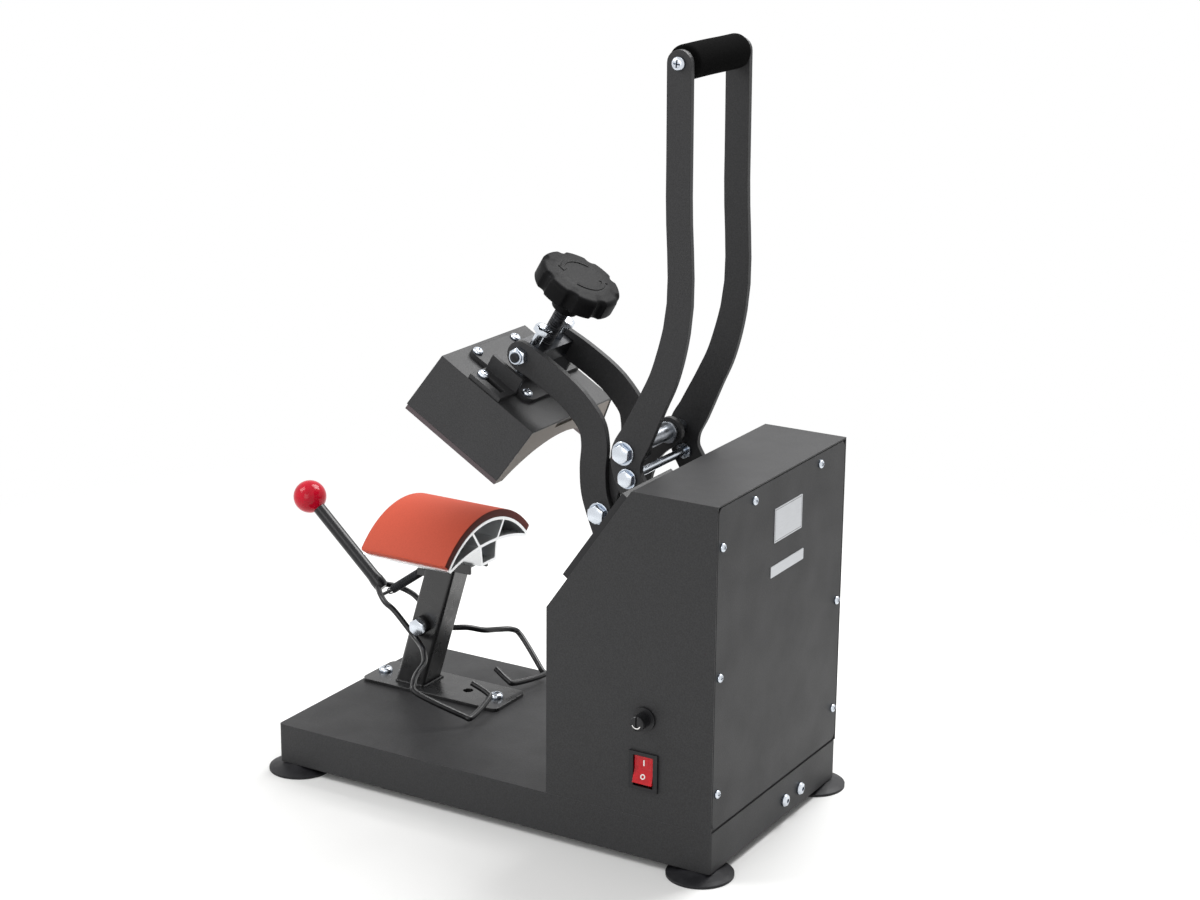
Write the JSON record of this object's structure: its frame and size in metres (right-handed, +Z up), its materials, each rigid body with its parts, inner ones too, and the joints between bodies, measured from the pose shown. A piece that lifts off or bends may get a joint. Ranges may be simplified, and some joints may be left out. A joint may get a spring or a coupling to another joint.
{
  "type": "cap heat press",
  "caption": "Benchtop cap heat press: curved padded lower platen on a post, heated concave head on a long-handled toggle linkage, control box and hold-down lever.",
  "frame": {"origin": "on the floor plane, under the middle of the whole press's bounding box", "axes": "+X towards the side with the power switch, +Y to the rear where the control box stands, +Z up; the press stands open, with its handle up"},
  "size_m": [0.249, 0.505, 0.618],
  "materials": {
    "powder_steel": "fine-texture dark grey powder coat",
    "zinc": "bright zinc plate",
    "grey_steel": "ground steel",
    "spring_steel": "plain spring wire, oiled",
    "black_spring": "blackened spring wire",
    "black_steel": "semi-gloss black",
    "chrome_rod": "bright chrome plate",
    "bare_plate": "satin, bare",
    "mill_aluminium": "mill finish extrusion",
    "heater_metal": "cast, cut ends",
    "rubber": "matt",
    "foam": "closed-cell foam",
    "silicone": "matt silicone",
    "insulation_mat": "matt fibre mat",
    "black_plastic": "fine grain",
    "button_grey": "smooth",
    "element_mica": "mica sheet",
    "circuit_board": "lacquered board",
    "rocker_red": "gloss",
    "ball_red": "high gloss",
    "display_red": "tinted window",
    "fuse_glass": "clear"
  },
  "bodies": {
    "frame": {"base_tray": "powder_steel", "rubber_feet": "rubber", "foot_studs": "zinc", "box_shell": "powder_steel", "back_panel": "powder_steel", "back_screws": "zinc", "blank_plates": "bare_plate", "control_panel": "black_plastic", "display_window": "display_red", "display_board": "circuit_board", "switch_bezel": "black_plastic", "fuse_holder": "black_plastic", "glass_fuse": "fuse_glass", "cord_gland": "black_plastic", "power_board": "circuit_board", "upright_bracket": "powder_steel", "arm_shaft": "zinc", "handle_pivots": "zinc", "spring_bolts": "zinc", "return_springs": "spring_steel", "post": "powder_steel", "post_screws": "zinc", "clamp_bracket": "powder_steel", "lower_platen": "mill_aluminium", "silicone_pad": "silicone", "lever_bolt": "zinc", "lever_spring": "black_spring"},
    "handle": {"handle_bar_right": "powder_steel", "handle_bar_left": "powder_steel", "grip_core": "grey_steel", "foam_grip": "foam", "grip_screws": "zinc", "link_shaft": "grey_steel", "shaft_bolts": "zinc", "stop_rod": "chrome_rod"},
    "links": {"link_right": "powder_steel", "link_left": "powder_steel"},
    "arms": {"arm_right": "powder_steel", "arm_left": "powder_steel", "joint_bolts": "zinc", "head_bolts": "zinc", "spring_rod": "zinc"},
    "crosshead": {"crosshead": "black_steel"},
    "head": {"head_carrier": "powder_steel", "hood": "powder_steel", "head_screws": "zinc", "insulation": "insulation_mat", "heating_element": "element_mica", "heater_plate": "heater_metal", "guide_bolts": "zinc"},
    "knob": {"spindle": "black_steel", "pressure_knob": "black_plastic"},
    "hold_lever": {"hold_lever": "black_steel", "lever_ball": "ball_red"},
    "rocker": {"switch_rocker": "rocker_red"},
    "fuse_cap": {"fuse_cap": "black_plastic"},
    "mode_button": {"button_mode": "button_grey"},
    "down_button": {"button_down": "button_grey"},
    "up_button": {"button_up": "button_grey"}
  },
  "joints": [
    {"name": "handle_swing", "type": "hinge", "parent": "frame", "child": "handle", "pos_m": [-0.03, 0.127, 0.253], "axis": [1, 0, 0], "range_deg": [0, 95]},
    {"name": "link_swing", "type": "hinge", "parent": "handle", "child": "links", "pos_m": [-0.03, 0.1082, 0.2975], "axis": [1, 0, 0], "range_deg": [-123.5, 0]},
    {"name": "arm_swing", "type": "hinge", "parent": "frame", "child": "arms", "pos_m": [-0.03, 0.137, 0.128], "axis": [1, 0, 0], "range_deg": [0, 30.62], "stiffness_Nm_per_rad": 4, "springref_deg": -57.3, "deforming": ["return_springs"]},
    {"name": "head_tilt", "type": "hinge", "parent": "arms", "child": "crosshead", "pos_m": [-0.03, 0.0028, 0.3584], "axis": [1, 0, 0], "range_deg": [-3, 3]},
    {"name": "head_slide", "type": "slide", "parent": "crosshead", "child": "head", "axis": [0, 0.5091, 0.8607], "range_m": [-0.01, 0.004]},
    {"name": "knob_turn", "type": "hinge", "parent": "head", "child": "knob", "pos_m": [-0.03, 0.0028, 0.3584], "axis": [0, 0.5091, 0.8607], "range_deg": [-2058, 823]},
    {"name": "lever_swing", "type": "hinge", "parent": "frame", "child": "hold_lever", "pos_m": [-0.03, -0.109, 0.101], "axis": [1, 0, 0], "range_deg": [0, 40], "stiffness_Nm_per_rad": 0.3, "springref_deg": -45.84, "deforming": ["lever_spring"]},
    {"name": "rocker_tilt", "type": "hinge", "parent": "frame", "child": "rocker", "pos_m": [0.1015, 0.1815, 0.079], "axis": [0, 1, 0], "range_deg": [0, 18]},
    {"name": "fuse_cap_turn", "type": "hinge", "parent": "frame", "child": "fuse_cap", "pos_m": [0.1085, 0.1815, 0.122], "axis": [1, 0, 0], "range_deg": [0, 60]},
    {"name": "mode_press", "type": "slide", "parent": "frame", "child": "mode_button", "axis": [0, 0.8174, -0.5761], "range_m": [0, 0.0012], "stiffness_N_per_m": 600, "springref_m": -0.0012},
    {"name": "down_press", "type": "slide", "parent": "frame", "child": "down_button", "axis": [0, 0.8174, -0.5761], "range_m": [0, 0.0012], "stiffness_N_per_m": 600, "springref_m": -0.0012},
    {"name": "up_press", "type": "slide", "parent": "frame", "child": "up_button", "axis": [0, 0.8174, -0.5761], "range_m": [0, 0.0012], "stiffness_N_per_m": 600, "springref_m": -0.0012}
  ],
  "couplings": [
    {"joint": "arm_swing", "follows": "handle_swing", "ratio": 0.32214},
    {"joint": "link_swing", "follows": "handle_swing", "ratio": -1.2991},
    {"joint": "knob_turn", "follows": "head_slide", "rad_per_m": 3590.4}
  ]
}
